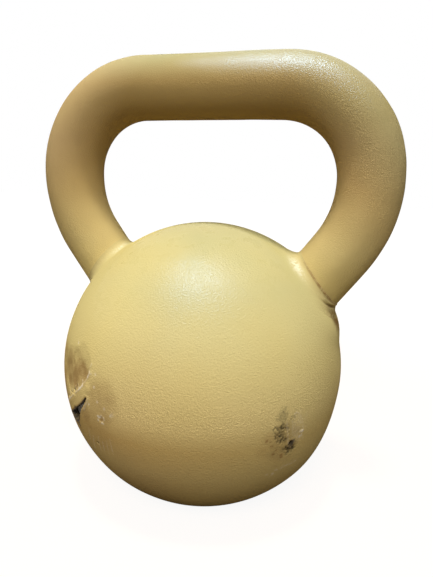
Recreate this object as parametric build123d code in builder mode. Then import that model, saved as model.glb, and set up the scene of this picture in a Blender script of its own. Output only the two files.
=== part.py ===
from build123d import *
from math import asin, cos, radians, sin, sqrt
import os

# Driving dimensions in millimetres and degrees.
# The origin is the middle of the flat base, X runs along the grip and the front is -Y.

# Ball, measured over its jacket
ball_radius = 80.0
ball_centre_height = 67.0
jacket_wall = 3.0
base_edge_radius = 4.0

# Handle, one round bar bent to shape
bar_radius = 16.4
grip_length = 75.0
grip_height = 217.5
shoulder_bend_radius = 45.8
shoulder_bend_angle = 88.6
horn_bend_radius = 62.6
horn_bend_angle = 37.2
foot_length = 18.8
tang_length = 28.0

# Weld collar, a ring that fills the corner between a foot of the bar and the ball
collar_radius = 22.5
collar_rim_rise = 0.4
collar_lip_radius = 14.0
collar_lip_height = 6.5
collar_root_depth = 8.0

# Wear of the jacket, placed by longitude from the front and latitude on the ball
tear_longitude = -38.0
tear_latitude = -8.0
tear_tip = (15.0, 11.0)
tear_foot = (1.0, -12.0)
tear_flap_end = (-5.5, 1.5)
tear_right_bulge = (6.3, -0.8)
tear_left_bulge = (-5.5, -6.0)
tear_flap_bulge = (4.0, 4.6)
puncture_longitude = 50.0
puncture_latitude = -11.3
puncture_half_width = 1.0
puncture_half_height = 1.7
dent_longitude = -37.0
dent_latitude = 7.0
dent_depth = 1.2
dent_ball_radius = 30.0
cut_reach = 10.0

ball_centre = Vector(0, 0, ball_centre_height)


def ball_section(radius, base_height):
    """Rear half of a section through a ball with a flat base and a rounded edge round it."""
    with BuildSketch(Plane.YZ) as section:
        with Locations((0, ball_centre_height)):
            Circle(radius)
        with Locations((0, base_height)):
            Rectangle(radius, 2 * radius, align=(Align.MIN, Align.MIN), mode=Mode.INTERSECT)
        base_corner = section.vertices().group_by(Axis.Y)[0].sort_by(Axis.X)[-1]
        fillet(base_corner, base_edge_radius)
    return section.sketch


def skin_plane(longitude, latitude):
    """Plane that touches the jacket, with its X to the right and its Y up as seen from outside."""
    turn = radians(longitude)
    lift = radians(latitude)
    outward = Vector(cos(lift) * sin(turn), -cos(lift) * cos(turn), sin(lift))
    return Plane(
        origin=ball_centre + outward * ball_radius,
        x_dir=(cos(turn), sin(turn), 0),
        z_dir=outward,
    )


# Handle: grip, two shoulders and two horns whose straight feet run on into the ball
with BuildPart() as handle:
    with BuildLine(Plane.XZ) as bar_axis:
        grip = Line((-grip_length / 2, grip_height), (grip_length / 2, grip_height))
        shoulder = JernArc(
            start=grip @ 1,
            tangent=grip % 1,
            radius=shoulder_bend_radius,
            arc_size=-shoulder_bend_angle,
        )
        horn = JernArc(
            start=shoulder @ 1,
            tangent=shoulder % 1,
            radius=horn_bend_radius,
            arc_size=-horn_bend_angle,
        )
        foot = Line(horn @ 1, horn @ 1 + (horn % 1) * (foot_length + tang_length))
        mirror([shoulder, horn, foot], about=Plane.YZ)
    bar_path = bar_axis.wires()[0]
    with BuildSketch(Plane(origin=bar_path @ 0, z_dir=bar_path % 0)):
        Circle(bar_radius)
    sweep(path=bar_path)

foot_point = horn @ 1 + (horn % 1) * foot_length


def weld_collar(side):
    """Ring of weld round the foot of the bar on one side, -1 for left and 1 for right."""
    seat = Vector(side * foot_point.X, 0, foot_point.Z)
    outward = seat - ball_centre
    rim_drop = ball_radius - sqrt(ball_radius**2 - collar_radius**2)
    rim_slope = asin(collar_radius / ball_radius)
    rim = (collar_radius, collar_rim_rise - rim_drop)
    lip = (collar_lip_radius, collar_lip_height)
    with BuildPart() as collar:
        with BuildSketch(Plane(origin=seat, x_dir=(0, 1, 0), z_dir=Vector(0, 1, 0).cross(outward))):
            with BuildLine():
                TangentArc(rim, lip, tangent=(-cos(rim_slope), sin(rim_slope)))
                Polyline(
                    lip,
                    (0, collar_lip_height),
                    (0, -collar_root_depth),
                    (collar_radius, -collar_root_depth),
                    rim,
                )
            make_face()
        revolve(axis=Axis(seat, outward))
        add(handle.part, mode=Mode.SUBTRACT)
    return collar


left_weld_collar = weld_collar(-1)
right_weld_collar = weld_collar(1)

core_section = ball_section(ball_radius - jacket_wall, jacket_wall)
jacket_section = ball_section(ball_radius, 0) - core_section
let_in_pieces = (handle, left_weld_collar, right_weld_collar)

# Core: the iron weight, with a blind socket for each foot of the bar and a groove for its weld
with BuildPart() as ball_core:
    revolve(core_section, axis=Axis.Z)
    for piece in let_in_pieces:
        add(piece.part, mode=Mode.SUBTRACT)

# Jacket: a shell round the core, with an opening for each collar and the wear of use
with BuildPart() as ball_jacket:
    revolve(jacket_section, axis=Axis.Z)
    for piece in let_in_pieces:
        add(piece.part, mode=Mode.SUBTRACT)
    with BuildSketch(skin_plane(tear_longitude, tear_latitude)):
        with BuildLine():
            ThreePointArc(tear_tip, tear_right_bulge, tear_foot)
            ThreePointArc(tear_foot, tear_left_bulge, tear_flap_end)
            ThreePointArc(tear_flap_end, tear_flap_bulge, tear_tip)
        make_face()
    extrude(amount=cut_reach, both=True, mode=Mode.SUBTRACT)
    with BuildSketch(skin_plane(puncture_longitude, puncture_latitude)):
        Ellipse(puncture_half_width, puncture_half_height)
    extrude(amount=cut_reach, both=True, mode=Mode.SUBTRACT)
    with Locations(skin_plane(dent_longitude, dent_latitude).offset(dent_ball_radius - dent_depth)):
        Sphere(dent_ball_radius, mode=Mode.SUBTRACT)

os.makedirs("parts", exist_ok=True)
pieces = {
    "ball_core": ball_core,
    "handle": handle,
    "left_weld_collar": left_weld_collar,
    "right_weld_collar": right_weld_collar,
    "ball_jacket": ball_jacket,
}
for name, piece in pieces.items():
    piece.part.label = name
    export_step(piece.part, f"parts/{name}.step")
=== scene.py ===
import logging
from dataclasses import dataclass, field
from enum import Enum
from math import cos, pi, radians, sin, tan

import bmesh
import bpy
import numpy as np
from mathutils import Matrix, Vector


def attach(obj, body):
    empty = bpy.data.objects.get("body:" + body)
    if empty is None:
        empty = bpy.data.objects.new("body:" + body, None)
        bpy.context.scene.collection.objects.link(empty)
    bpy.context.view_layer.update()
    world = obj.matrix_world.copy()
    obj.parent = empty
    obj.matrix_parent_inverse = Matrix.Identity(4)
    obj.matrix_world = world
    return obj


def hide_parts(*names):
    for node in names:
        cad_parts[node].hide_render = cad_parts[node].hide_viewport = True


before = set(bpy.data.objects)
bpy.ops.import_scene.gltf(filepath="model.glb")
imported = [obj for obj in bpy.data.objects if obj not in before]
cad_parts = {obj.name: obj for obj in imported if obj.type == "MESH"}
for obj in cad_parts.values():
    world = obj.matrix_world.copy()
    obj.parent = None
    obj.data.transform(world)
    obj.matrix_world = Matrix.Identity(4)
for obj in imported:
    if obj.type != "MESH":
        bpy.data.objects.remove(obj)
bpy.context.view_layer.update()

LOG = logging.getLogger("kettlebell")
MM = 0.001
PHOTO_WIDTH = 433
PHOTO_HEIGHT = 577
TINY = 1e-12
FRONT = (0.0, -1.0, 0.0)
RIGHT = (1.0, 0.0, 0.0)
UP = (0.0, 0.0, 1.0)
WHITE = (1.0, 1.0, 1.0, 1.0)

# Whole numbers that scramble a lattice cell into its noise value
CELL_PRIMES = (73856093, 19349663, 83492791)
SEED_PRIME = 2654435761
SCRAMBLES = ((13, 1274126177), (11, 668265263))
LOW_31_BITS = 0x7FFFFFFF
LOW_16_BITS = 0xFFFF

# Sockets of Blender's colour mix node
MIX_UNDER, MIX_OVER, MIX_RESULT = 6, 7, 2

Point = tuple[float, float]
Triple = tuple[float, float, float]
Colour = tuple[float, float, float, float]
Tone = tuple[float, Colour]


class Side(Enum):
    """The two feet of the bar, by the sign of X."""

    LEFT = -1
    RIGHT = 1


class Mask(Enum):
    """What wear, painted shade and a painted highlight lay on a surface, stored per vertex and read by its
    finish.
    """

    # Grime on the scuffs, and painted shade on the right flank and by the dent; on the weld rings it blends
    # in the bar's colour
    GRIME_AND_SHADE = "grime_and_shade"
    # Soot on the scorched marks, and painted shade on the right flank and in the weld rings' creases and
    # folds
    SOOT_AND_SHADE = "soot_and_shade"
    # Pale scratches, chips and torn lips, and a painted highlight on the weld rings' crowns
    PALE_AND_HIGHLIGHT = "pale_and_highlight"


def ease(part: np.ndarray) -> np.ndarray:
    """Turn an even run from 0 to 1 into one that starts and ends gently.

    Args:
        part: Places along the even run.

    Returns:
        Places along the gentle run.
    """
    return part * part * (3.0 - 2.0 * part)


def fade(value: np.ndarray, start: float, end: float) -> np.ndarray:
    """Ease from 1 at start to 0 at end.

    Args:
        value: Values to ease.
        start: Where the result is still 1.
        end: Where the result has reached 0.

    Returns:
        Weights from 0 to 1.
    """
    return 1.0 - ease(np.clip((value - start) / (end - start), 0.0, 1.0))


def hill(value: np.ndarray | float, middle: float, reach: float) -> np.ndarray | float:
    """Weigh values by how near they are to a middle.

    Args:
        value: Values to weigh.
        middle: Where the weight is 1.
        reach: How far from the middle the weight has dropped to about a third.

    Returns:
        Weights from 0 to 1.
    """
    return np.exp(-(((value - middle) / reach) ** 2))


@dataclass(frozen=True)
class Unevenness:
    """Smooth seeded noise in space, for the hand-made look of a surface."""

    seed: int

    def sample(self, points: np.ndarray, pitch: float) -> np.ndarray:
        """Read the noise at some points.

        Args:
            points: Rows of x, y, z.
            pitch: Size of one lump, in the unit of the points.

        Returns:
            One value from -1 to 1 for each point.
        """
        scaled = points / pitch
        cell = np.floor(scaled).astype(np.int64)
        part = ease(scaled - cell)
        total = np.zeros(len(points))
        for corner in range(8):
            step = np.array([corner & 1, corner >> 1 & 1, corner >> 2 & 1])
            weight = np.prod(np.where(step == 1, part, 1.0 - part), axis=1)
            total += weight * self._lattice(cell + step)
        return total

    def _lattice(self, cell: np.ndarray) -> np.ndarray:
        """Give the fixed value that each lattice cell has.

        Args:
            cell: Rows of whole numbers, one row for each cell.

        Returns:
            One value from -1 to 1 for each cell.
        """
        key = np.bitwise_xor.reduce(cell * np.array(CELL_PRIMES), axis=1)
        key = (key ^ self.seed * SEED_PRIME) & LOW_31_BITS
        for shift, prime in SCRAMBLES:
            key = (key ^ key >> shift) * prime & LOW_31_BITS
        return (key >> 8 & LOW_16_BITS) / (LOW_16_BITS / 2.0) - 1.0


def line_distance(flat: np.ndarray, points: tuple[Point, ...]) -> tuple[np.ndarray, np.ndarray]:
    """Measure how far places on a flat map are from a line of points.

    Args:
        flat: Rows of u, v.
        points: Corners of the line.

    Returns:
        The distance for each row, and the nearest place on the line.
    """
    best = np.full(len(flat), np.inf)
    foot = np.zeros_like(flat)
    for start, end in zip(points[:-1], points[1:]):
        start_at = np.array(start)
        run = np.array(end) - start_at
        along = np.clip((flat - start_at) @ run / max(run @ run, TINY), 0.0, 1.0)
        near = start_at + along[:, None] * run
        gap = np.linalg.norm(flat - near, axis=1)
        closer = gap < best
        best[closer] = gap[closer]
        foot[closer] = near[closer]
    return best, foot


def inside(flat: np.ndarray, outline: tuple[Point, ...]) -> np.ndarray:
    """Tell which places on a flat map lie inside a closed outline.

    Args:
        flat: Rows of u, v.
        outline: Corners, in order.

    Returns:
        True for each row that is inside.
    """
    result = np.zeros(len(flat), dtype=bool)
    for (u0, v0), (u1, v1) in zip(outline, outline[1:] + outline[:1]):
        if v0 == v1:
            continue
        spans = (flat[:, 1] > v0) != (flat[:, 1] > v1)
        crossing = u0 + (flat[:, 1] - v0) * (u1 - u0) / (v1 - v0)
        result ^= spans & (flat[:, 0] < crossing)
    return result


@dataclass(frozen=True)
class SkinPatch:
    """A place on the ball with a flat map in millimetres, U to the right and V up seen from outside."""

    longitude: float
    latitude: float
    radius: float

    def axes(self) -> tuple[np.ndarray, np.ndarray, np.ndarray]:
        """Find the directions at the middle of the patch.

        Returns:
            The outward, right and up directions.
        """
        turn, lift = radians(self.longitude), radians(self.latitude)
        out = np.array([cos(lift) * sin(turn), -cos(lift) * cos(turn), sin(lift)])
        right = np.array([cos(turn), sin(turn), 0.0])
        return out, right, np.cross(out, right)

    def flat(self, directions: np.ndarray) -> np.ndarray:
        """Map directions from the ball's centre to the flat map.

        Args:
            directions: Unit rows of x, y, z.

        Returns:
            Rows of u, v in millimetres.
        """
        out, right, up = self.axes()
        toward = np.clip(directions @ out, -1.0, 1.0)
        across = directions - toward[:, None] * out
        length = np.maximum(np.linalg.norm(across, axis=1), TINY)
        scale = np.arccos(toward) * self.radius / length
        return np.stack([across @ right * scale, across @ up * scale], axis=1)

    def directions(self, flat: np.ndarray) -> np.ndarray:
        """Map places on the flat map back to directions from the ball's centre.

        Args:
            flat: Rows of u, v in millimetres.

        Returns:
            Unit rows of x, y, z.
        """
        out, right, up = self.axes()
        length = np.maximum(np.linalg.norm(flat, axis=1), TINY)
        angle = length / self.radius
        across = (flat[:, :1] * right + flat[:, 1:] * up) / length[:, None]
        return np.cos(angle)[:, None] * out + np.sin(angle)[:, None] * across


@dataclass(frozen=True)
class Stain:
    """An oval of dirt, bared material or painted shade with a soft ragged edge, worn down or raised in the
    middle.
    """

    mask: Mask
    centre: Point
    half: Point
    strength: float
    rise: float = 0.0
    ragged: float = 0.35
    pitch: float = 2.5
    edge: Point = (0.5, 1.15)

    def weight(self, flat: np.ndarray, spots: np.ndarray, uneven: Unevenness) -> np.ndarray:
        """Weigh the stain at places on the patch.

        Args:
            flat: Rows of u, v in millimetres.
            spots: The same places as rows of x, y, z in millimetres.
            uneven: Noise for the ragged edge.

        Returns:
            Weights from 0 to 1.
        """
        reach = np.hypot(*((flat - np.array(self.centre)) / np.array(self.half)).T)
        reach = reach + self.ragged * uneven.sample(spots, self.pitch)
        return fade(reach, *self.edge)


@dataclass(frozen=True)
class Stroke:
    """A drawn line of wear or of painted shadow: a scratch, a torn lip, a crease or a band of shadow."""

    mask: Mask
    points: tuple[Point, ...]
    width: float
    strength: float
    rise: float = 0.0
    ragged: float = 0.3
    pitch: float = 1.2
    edge: Point = (0.25, 1.0)

    def weight(self, flat: np.ndarray, spots: np.ndarray, uneven: Unevenness) -> np.ndarray:
        """Weigh the line at places on the patch.

        Args:
            flat: Rows of u, v in millimetres.
            spots: The same places as rows of x, y, z in millimetres.
            uneven: Noise for the ragged edge.

        Returns:
            Weights from 0 to 1.
        """
        gap, _ = line_distance(flat, self.points)
        reach = gap / self.width + self.ragged * uneven.sample(spots, self.pitch)
        return fade(reach, *self.edge)


@dataclass(frozen=True)
class MarkedPlace:
    """One marked place of the ball: a patch, the holes through it and the marks on it, which are wear or a
    painted shadow.
    """

    patch: SkinPatch
    low: Point
    high: Point
    marks: tuple[Stain | Stroke, ...]
    fine_low: Point = (0.0, 0.0)
    fine_high: Point = (0.0, 0.0)
    holes: tuple[tuple[Point, ...], ...] = ()
    lip_rise: float = 0.0
    lip_width: float = 1.0
    least_facing: float = 0.2

    def covers(self, directions: np.ndarray, low: Point, high: Point) -> np.ndarray:
        """Tell which directions fall in a rectangle of this place.

        Args:
            directions: Unit rows of x, y, z.
            low: Lower left corner of the rectangle.
            high: Upper right corner of the rectangle.

        Returns:
            True for each row that is in the rectangle.
        """
        flat = self.patch.flat(directions)
        within = (flat > np.array(low)) & (flat < np.array(high))
        return within.all(axis=1) & (directions @ self.patch.axes()[0] > self.least_facing)


@dataclass(frozen=True)
class Breakup:
    """How noise breaks up a mask: the part of the noise that counts, and what is left where it is low."""

    low: float
    high: float
    least: float


class NodeSheet:
    """A material's node tree, with short calls that place and join nodes."""

    def __init__(self, name: str) -> None:
        """Start an empty sheet with an output node.

        Args:
            name: Name of the material.
        """
        self.material = bpy.data.materials.new(name)
        self.material.use_nodes = True
        self.tree = self.material.node_tree
        self.tree.nodes.clear()
        self.output = self.add("ShaderNodeOutputMaterial")
        self.place = self.add("ShaderNodeTexCoord").outputs["Object"]

    def add(self, kind: str, **settings: object) -> bpy.types.Node:
        """Place a node and set some of its properties.

        Args:
            kind: Blender's name for the kind of node.
            settings: Properties of the node and their values.

        Returns:
            The node.
        """
        node = self.tree.nodes.new(kind)
        for key, value in settings.items():
            setattr(node, key, value)
        return node

    def join(self, source: bpy.types.NodeSocket, target: bpy.types.NodeSocket) -> None:
        """Link an output to an input."""
        self.tree.links.new(source, target)

    def noise(self, lump: float, detail: float = 3.0, rough: float = 0.55) -> bpy.types.NodeSocket:
        """Add fractal noise.

        Args:
            lump: Size of one lump in millimetres.
            detail: Octaves of finer lumps.
            rough: Share that each finer octave keeps.

        Returns:
            The noise from 0 to 1.
        """
        node = self.add("ShaderNodeTexNoise")
        node.inputs["Scale"].default_value = 1.0 / (lump * MM)
        node.inputs["Detail"].default_value = detail
        node.inputs["Roughness"].default_value = rough
        self.join(self.place, node.inputs["Vector"])
        return node.outputs["Fac"]

    def along(self, axis: Triple, span: Point, values: Point = (0.0, 1.0)) -> bpy.types.NodeSocket:
        """Change a value along an axis through the object.

        Args:
            axis: Direction of the axis.
            span: Where the change starts and ends, in millimetres.
            values: The value at the start and at the end.

        Returns:
            The value, which stays level before the start and after the end.
        """
        node = self.add("ShaderNodeVectorMath", operation="DOT_PRODUCT")
        self.join(self.place, node.inputs[0])
        node.inputs[1].default_value = axis
        start, end = span
        return self.remap(node.outputs["Value"], start * MM, end * MM, *values)

    def tones(self, tones: tuple[Tone, ...]) -> bpy.types.NodeSocket:
        """Change a colour with the height above the base.

        Args:
            tones: Heights in millimetres and the colour at each, from low to high.

        Returns:
            The colour.
        """
        low, high = tones[0][0], tones[-1][0]
        ramp = self.add("ShaderNodeValToRGB")
        while len(ramp.color_ramp.elements) < len(tones):
            ramp.color_ramp.elements.new(1.0)
        for stop, (height, colour) in zip(ramp.color_ramp.elements, tones):
            stop.position = (height - low) / (high - low)
            stop.color = colour
        self.join(self.along(UP, (low, high)), ramp.inputs["Fac"])
        return ramp.outputs["Color"]

    def remap(self, value: bpy.types.NodeSocket, low: float, high: float,
              to_low: float = 0.0, to_high: float = 1.0) -> bpy.types.NodeSocket:
        """Stretch a value from one range to another, clamped.

        Args:
            value: What is stretched.
            low: Start of the old range.
            high: End of the old range.
            to_low: Start of the new range.
            to_high: End of the new range.

        Returns:
            The stretched value.
        """
        node = self.add("ShaderNodeMapRange")
        ends = {"From Min": low, "From Max": high, "To Min": to_low, "To Max": to_high}
        for key, number in ends.items():
            node.inputs[key].default_value = number
        self.join(value, node.inputs["Value"])
        return node.outputs["Result"]

    def math(self, operation: str, first: bpy.types.NodeSocket,
             second: bpy.types.NodeSocket | float) -> bpy.types.NodeSocket:
        """Combine a value with another value or with a number.

        Args:
            operation: Blender's name for the operation.
            first: The first value.
            second: The second value, or a number.

        Returns:
            The result.
        """
        node = self.add("ShaderNodeMath", operation=operation)
        self.join(first, node.inputs[0])
        if isinstance(second, (int, float)):
            node.inputs[1].default_value = second
        else:
            self.join(second, node.inputs[1])
        return node.outputs[0]

    def blend(self, factor: bpy.types.NodeSocket, under: bpy.types.NodeSocket | Colour,
              over: Colour) -> bpy.types.NodeSocket:
        """Lay one colour over another.

        Args:
            factor: How much of the upper colour shows.
            under: The lower colour, plain or from a node.
            over: The upper colour.

        Returns:
            The blended colour.
        """
        node = self.add("ShaderNodeMix", data_type="RGBA")
        self.join(factor, node.inputs[0])
        if isinstance(under, tuple):
            node.inputs[MIX_UNDER].default_value = under
        else:
            self.join(under, node.inputs[MIX_UNDER])
        node.inputs[MIX_OVER].default_value = over
        return node.outputs[MIX_RESULT]

    def mask(self, mask: Mask, noise: bpy.types.NodeSocket, breakup: Breakup) -> bpy.types.NodeSocket:
        """Read one of the surface's stored masks, broken up by noise.

        Args:
            mask: The mask.
            noise: The noise from 0 to 1.
            breakup: How the noise breaks it up.

        Returns:
            The broken mask from 0 to 1.
        """
        stored = self.add("ShaderNodeAttribute", attribute_name=mask.value).outputs["Fac"]
        share = self.remap(noise, breakup.low, breakup.high, breakup.least, 1.0)
        return self.math("MULTIPLY", stored, share)

    def bump(self, height: bpy.types.NodeSocket, depth: float,
             over: bpy.types.NodeSocket | None = None) -> bpy.types.NodeSocket:
        """Turn a height into a normal.

        Args:
            height: Height from 0 to 1.
            depth: What 1 stands for, in millimetres.
            over: A normal that this one is added to.

        Returns:
            The normal.
        """
        node = self.add("ShaderNodeBump")
        node.inputs["Distance"].default_value = depth * MM
        self.join(height, node.inputs["Height"])
        if over is not None:
            self.join(over, node.inputs["Normal"])
        return node.outputs["Normal"]

    def surface(self) -> bpy.types.Node:
        """Add the surface shader and join it to the output.

        Returns:
            The shader's node.
        """
        shader = self.add("ShaderNodeBsdfPrincipled")
        self.join(shader.outputs["BSDF"], self.output.inputs["Surface"])
        return shader


@dataclass(frozen=True)
class LightWash:
    """Painted light: a broad drift of a coat's colour towards one side of the object, in millimetres along
    an axis.
    """

    colour: Colour
    axis: Triple
    span: Point
    share: float


@dataclass(frozen=True)
class OchreCoat:
    """Satin ochre coating with a pebbled grain that takes dirt and scuffs, its default colour by height
    partly dirt and partly painted shade.

    Sizes are in millimetres. Each span lies along the axis of the same name.
    """

    name: str
    # Partly dirt, partly painted shade: browner and darker low down, a painted step where the key light's
    # terminator falls, darker round the crown's highlight
    tones: tuple[Tone, ...] = (
        (8.0, (0.345, 0.245, 0.092, 1.0)),
        (37.0, (0.509, 0.367, 0.145, 1.0)),
        (53.0, (0.560, 0.374, 0.130, 1.0)),
        (65.0, (0.705, 0.522, 0.215, 1.0)),
        (87.0, (0.622, 0.490, 0.204, 1.0)),
        (105.0, (0.558, 0.471, 0.214, 1.0)),
        (120.0, (0.448, 0.403, 0.195, 1.0)),
        (140.0, (0.430, 0.392, 0.181, 1.0)),
    )
    cloud: Colour = (0.600, 0.450, 0.155, 1.0)
    cloud_lump: float = 45.0
    cloud_noise: Point = (0.40, 0.75)
    cloud_share: float = 0.35
    grime_and_shade: Colour = (0.325, 0.185, 0.064, 1.0)
    soot_and_shade: Colour = (0.026, 0.025, 0.019, 1.0)
    pale_and_highlight: Colour = (0.800, 0.690, 0.490, 1.0)
    blotch: float = 5.0
    speckle: float = 1.6
    grime_and_shade_breakup: Breakup = Breakup(0.30, 0.62, 0.60)
    soot_and_shade_breakup: Breakup = Breakup(0.36, 0.54, 0.30)
    pale_and_highlight_breakup: Breakup = Breakup(0.38, 0.56, 0.20)
    pebble: float = 0.90
    grain: float = 0.5
    pebble_depth: float = 0.135
    grain_depth: float = 0.09
    grain_axis: Triple = (0.6, 0.0, -0.8)
    grain_span: Point = (-110.0, -20.0)
    grain_share: Point = (1.00, 1.80)
    # Painted light: a greener cast on the right of the ball and a painted pool of light high on the front
    # left
    light_washes: tuple[LightWash, ...] = (
        LightWash((0.630, 0.540, 0.220, 1.0), (1.0, 0.0, 0.2), (5.0, 80.0), 0.40),
        LightWash((0.720, 0.570, 0.200, 1.0), (-0.8, -0.5, 0.6), (97.0, 118.0), 0.42),
    )
    roughness: float = 0.29
    roughness_lump: float = 9.0
    roughness_noise: Point = (0.3, 0.7)
    roughness_spread: Point = (-0.05, 0.06)
    dirt_roughness: float = 0.25
    shine_axis: Triple = (0.09, -0.67, 0.74)
    shine_span: Point = (112.0, 126.0)
    gloss: float = 0.080

    def material(self) -> bpy.types.Material:
        """Make the material.

        Returns:
            The material.
        """
        sheet = NodeSheet(self.name)
        shader = sheet.surface()
        blotch = sheet.noise(self.blotch)
        speckle = sheet.noise(self.speckle, detail=4.0, rough=0.7)
        grime_and_shade = sheet.mask(Mask.GRIME_AND_SHADE, blotch, self.grime_and_shade_breakup)
        soot_and_shade = sheet.mask(Mask.SOOT_AND_SHADE, speckle, self.soot_and_shade_breakup)
        pale_and_highlight = sheet.mask(Mask.PALE_AND_HIGHLIGHT, speckle, self.pale_and_highlight_breakup)
        colour = self._clean_colour(sheet)
        # Lays dirt, soot and pale wear, and on some surfaces painted shade and a painted highlight, over
        # the clean colour.
        for mask, wear in ((grime_and_shade, self.grime_and_shade), (soot_and_shade, self.soot_and_shade), (pale_and_highlight, self.pale_and_highlight)):
            colour = sheet.blend(mask, colour, wear)
        sheet.join(colour, shader.inputs["Base Color"])
        smoother, rougher = (self.roughness + change for change in self.roughness_spread)
        rough = sheet.remap(sheet.noise(self.roughness_lump), *self.roughness_noise, smoother, rougher)
        dirt = sheet.math("MULTIPLY", sheet.math("ADD", grime_and_shade, soot_and_shade), self.dirt_roughness)
        sheet.join(sheet.math("ADD", rough, dirt), shader.inputs["Roughness"])
        gloss = sheet.along(self.shine_axis, self.shine_span, (0.0, self.gloss))
        sheet.join(gloss, shader.inputs["Specular IOR Level"])
        sheet.join(self._pebbled(sheet), shader.inputs["Normal"])
        return sheet.material

    def _clean_colour(self, sheet: NodeSheet) -> bpy.types.NodeSocket:
        """Mix the coat's colour before any wear: its tones by height, which carry painted shade, its clouds
        and its painted light washes.

        Args:
            sheet: The material's sheet.

        Returns:
            The colour.
        """
        clouds = sheet.noise(self.cloud_lump, detail=2.0)
        drift = sheet.remap(clouds, *self.cloud_noise, 0.0, self.cloud_share)
        colour = sheet.blend(drift, sheet.tones(self.tones), self.cloud)
        for light_wash in self.light_washes:
            share = sheet.along(light_wash.axis, light_wash.span, (0.0, light_wash.share))
            colour = sheet.blend(share, colour, light_wash.colour)
        return colour

    def _pebbled(self, sheet: NodeSheet) -> bpy.types.NodeSocket:
        """Raise the pebbles and the finer grain between them.

        Args:
            sheet: The material's sheet.

        Returns:
            The normal.
        """
        share = sheet.along(self.grain_axis, self.grain_span, self.grain_share)
        pebbles = sheet.math("MULTIPLY", sheet.noise(self.pebble, detail=1.0, rough=0.5), share)
        finer = sheet.noise(self.pebble * self.grain, detail=2.0, rough=0.6)
        grains = sheet.math("MULTIPLY", finer, share)
        return sheet.bump(grains, self.grain_depth, sheet.bump(pebbles, self.pebble_depth))


@dataclass(frozen=True)
class TornEdge:
    """The bare cut edge of the skin, dull and dirty."""

    name: str = "torn_skin_edge"
    clean: Colour = (0.170, 0.118, 0.050, 1.0)
    dirty: Colour = (0.030, 0.023, 0.014, 1.0)
    dirt_lump: float = 1.8
    dirt_noise: Point = (0.36, 0.60)
    roughness: float = 0.75
    nap: float = 0.8
    nap_depth: float = 0.2

    def material(self) -> bpy.types.Material:
        """Make the material.

        Returns:
            The material.
        """
        sheet = NodeSheet(self.name)
        shader = sheet.surface()
        dirt = sheet.remap(sheet.noise(self.dirt_lump, detail=4.0, rough=0.65), *self.dirt_noise)
        sheet.join(sheet.blend(dirt, self.clean, self.dirty), shader.inputs["Base Color"])
        shader.inputs["Roughness"].default_value = self.roughness
        sheet.join(sheet.bump(sheet.noise(self.nap), self.nap_depth), shader.inputs["Normal"])
        return sheet.material


@dataclass(frozen=True)
class RoughIron:
    """Iron as cast: dark grey, grainy, with paler crumbs and a little rust, scorched black on the right."""

    name: str = "rough_cast_iron"
    dark: Colour = (0.190, 0.184, 0.160, 1.0)
    crumb: Colour = (0.760, 0.740, 0.680, 1.0)
    rust: Colour = (0.160, 0.095, 0.050, 1.0)
    scorched: Colour = (0.010, 0.010, 0.009, 1.0)
    scorched_span: Point = (-10.0, 20.0)
    grain: float = 1.6
    crumb_noise: Point = (0.48, 0.66)
    rust_lump: float = 6.0
    rust_noise: Point = (0.55, 0.72)
    roughness: float = 0.8
    metallic: float = 0.2
    grain_depth: float = 0.8

    def material(self) -> bpy.types.Material:
        """Make the material.

        Returns:
            The material.
        """
        sheet = NodeSheet(self.name)
        shader = sheet.surface()
        grain = sheet.noise(self.grain, detail=5.0, rough=0.65)
        colour = sheet.blend(sheet.remap(grain, *self.crumb_noise), self.dark, self.crumb)
        rusted = sheet.remap(sheet.noise(self.rust_lump), *self.rust_noise)
        colour = sheet.blend(rusted, colour, self.rust)
        colour = sheet.blend(sheet.along(RIGHT, self.scorched_span), colour, self.scorched)
        sheet.join(colour, shader.inputs["Base Color"])
        shader.inputs["Roughness"].default_value = self.roughness
        shader.inputs["Metallic"].default_value = self.metallic
        sheet.join(sheet.bump(grain, self.grain_depth), shader.inputs["Normal"])
        return sheet.material


def mesh_object(name: str, points: np.ndarray, faces: list[list[int]]) -> bpy.types.Object:
    """Make a smooth mesh object from points in millimetres.

    Args:
        name: Name of the piece.
        points: Rows of x, y, z in millimetres.
        faces: Corner indices of each face.

    Returns:
        The new object, linked to the scene.
    """
    mesh = bpy.data.meshes.new(name)
    mesh.from_pydata((points * MM).tolist(), [], faces)
    mesh.validate()
    mesh.update()
    mesh.shade_smooth()
    piece = bpy.data.objects.new(name, mesh)
    bpy.context.scene.collection.objects.link(piece)
    return piece


def store_masks(piece: bpy.types.Object, masks: dict[Mask, np.ndarray]) -> None:
    """Store the masks of wear, painted shade and painted highlight of a piece per vertex.

    Args:
        piece: Mesh object.
        masks: One row of weights for each mask.
    """
    for mask in Mask:
        layer = piece.data.attributes.new(mask.value, "FLOAT", "POINT")
        weights = masks.get(mask, np.zeros(len(piece.data.vertices)))
        layer.data.foreach_set("value", np.clip(weights, 0.0, 1.0).astype(np.float32))


def tube_faces(rings: int, around: int, closed: bool) -> list[list[int]]:
    """List the quads of a grid of rings.

    Args:
        rings: Number of rings.
        around: Points on each ring.
        closed: Whether the last ring joins the first.

    Returns:
        Corner indices of each quad.
    """
    faces = []
    for ring in range(rings if closed else rings - 1):
        following = (ring + 1) % rings
        for spot in range(around):
            beside = (spot + 1) % around
            faces.append([ring * around + spot, ring * around + beside,
                          following * around + beside, following * around + spot])
    return faces


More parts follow.
